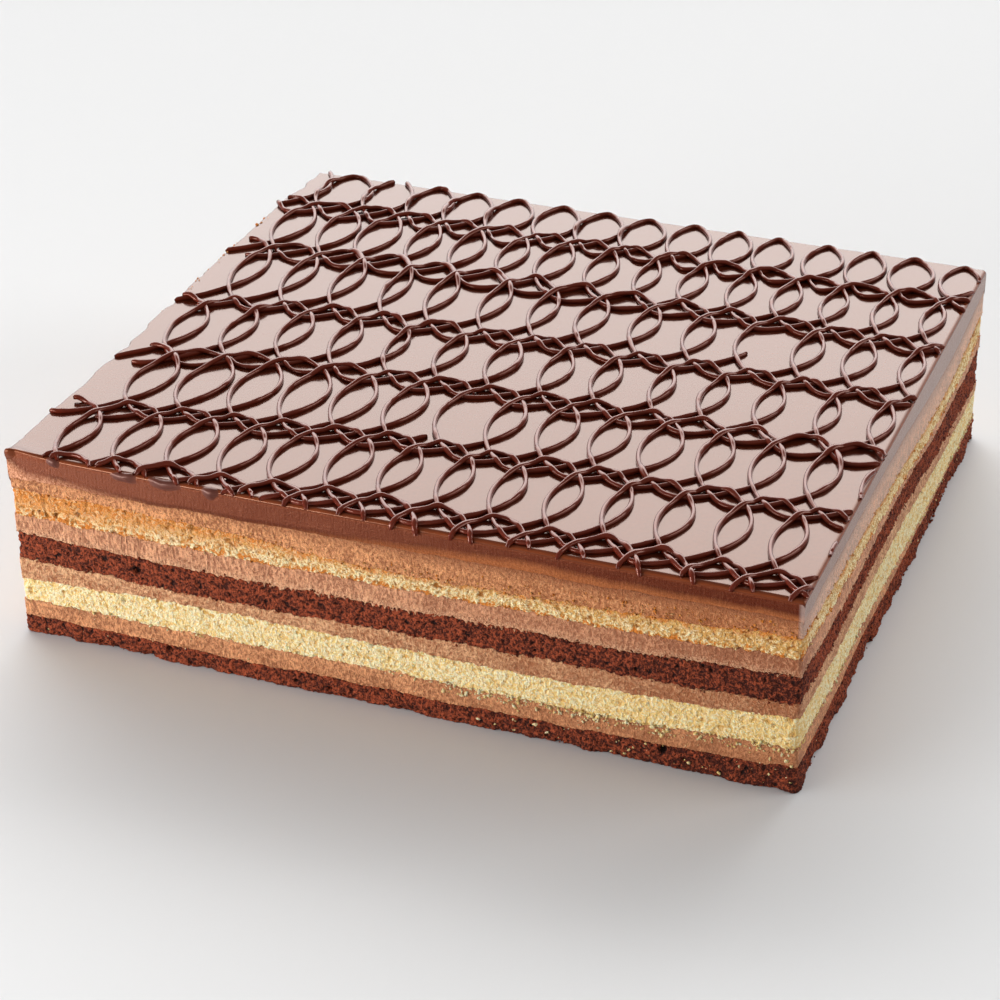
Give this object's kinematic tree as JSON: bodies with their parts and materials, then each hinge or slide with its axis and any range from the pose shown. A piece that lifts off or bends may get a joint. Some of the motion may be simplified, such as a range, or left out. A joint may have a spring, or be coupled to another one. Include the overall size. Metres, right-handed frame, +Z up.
{
  "type": "opera cake",
  "caption": "Rectangular opera cake of sponge sheets and coffee cream under a smooth chocolate glaze, with rows of looped piping on top.",
  "frame": {"origin": "middle of the cake's underside", "axes": "+X along the long front side to the right, +Y towards the back, +Z up"},
  "size_m": [0.24, 0.216, 0.0656],
  "materials": {
    "cocoa_sponge": "matt, open crumb",
    "vanilla_sponge": "matt, open crumb",
    "browned_sponge": "matt, open crumb with browned skins",
    "coffee_cream": "satin, finely grained",
    "glaze": "smooth and glossy",
    "piping": "glossy dark chocolate"
  },
  "bodies": {
    "root": {"sponge_cocoa_base": "cocoa_sponge", "cream_1": "coffee_cream", "sponge_vanilla_lower": "vanilla_sponge", "cream_2": "coffee_cream", "sponge_cocoa_upper": "cocoa_sponge", "cream_3": "coffee_cream", "sponge_vanilla_upper": "browned_sponge", "cream_4": "coffee_cream", "glaze": "glaze", "piping_row_1": "piping", "piping_row_2": "piping", "piping_row_3": "piping", "piping_row_4": "piping", "piping_row_5": "piping", "piping_row_6": "piping", "piping_row_7": "piping"}
  },
  "joints": []
}
